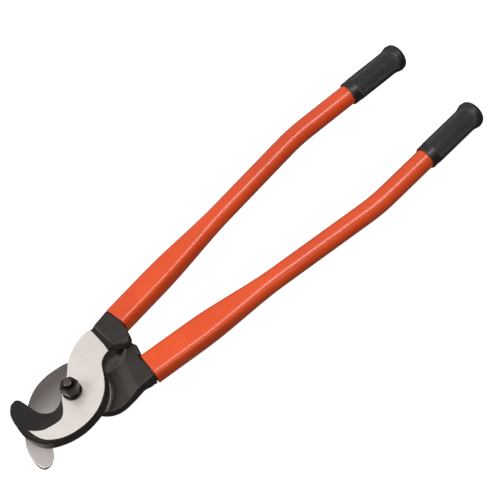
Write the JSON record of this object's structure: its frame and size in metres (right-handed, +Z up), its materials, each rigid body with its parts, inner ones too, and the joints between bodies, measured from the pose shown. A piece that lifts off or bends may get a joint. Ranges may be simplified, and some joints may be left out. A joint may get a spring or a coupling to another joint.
{
  "type": "long-arm cable cutter",
  "caption": "Long-arm bypass cable cutter with hooked steel blades on a bolted pivot, bent orange tube handles and ribbed black rubber grips, shown closed.",
  "frame": {"origin": "centre of the flat underside of the pivot bolt's head", "axes": "+Z up along the pivot axis, out through the nut; +X from the pivot towards the grips, half way between the handles; +Y towards the handle of the front blade"},
  "size_m": [0.591, 0.1469, 0.0554],
  "materials": {
    "blade_steel": "ground flat faces on a black forged head",
    "bush_steel": "turned",
    "black_oxide": "black oxide, oiled",
    "spring_steel": "phosphated",
    "orange_paint": "semi-gloss powder coat",
    "plug_plastic": "moulded",
    "grip_rubber": "moulded, finely ribbed"
  },
  "bodies": {
    "rear_arm": {"rear_jaw": "blade_steel", "pivot_bolt": "black_oxide", "rear_washer": "black_oxide", "disc_spring_outer": "spring_steel", "disc_spring_inner": "spring_steel", "rear_bush": "bush_steel", "front_washer": "black_oxide", "pivot_nut": "black_oxide", "lower_handle_tube": "orange_paint", "lower_tang_pin_1": "black_oxide", "lower_tang_pin_2": "black_oxide", "lower_tube_plug": "plug_plastic", "lower_grip": "grip_rubber"},
    "front_arm": {"front_jaw": "blade_steel", "front_bush": "bush_steel", "upper_handle_tube": "orange_paint", "upper_tang_pin_1": "black_oxide", "upper_tang_pin_2": "black_oxide", "upper_tube_plug": "plug_plastic", "upper_grip": "grip_rubber"}
  },
  "joints": [
    {"name": "blade_pivot", "type": "hinge", "parent": "rear_arm", "child": "front_arm", "pos_m": [0, 0, 0.0231], "axis": [0, 0, 1], "range_deg": [0, 100]}
  ]
}
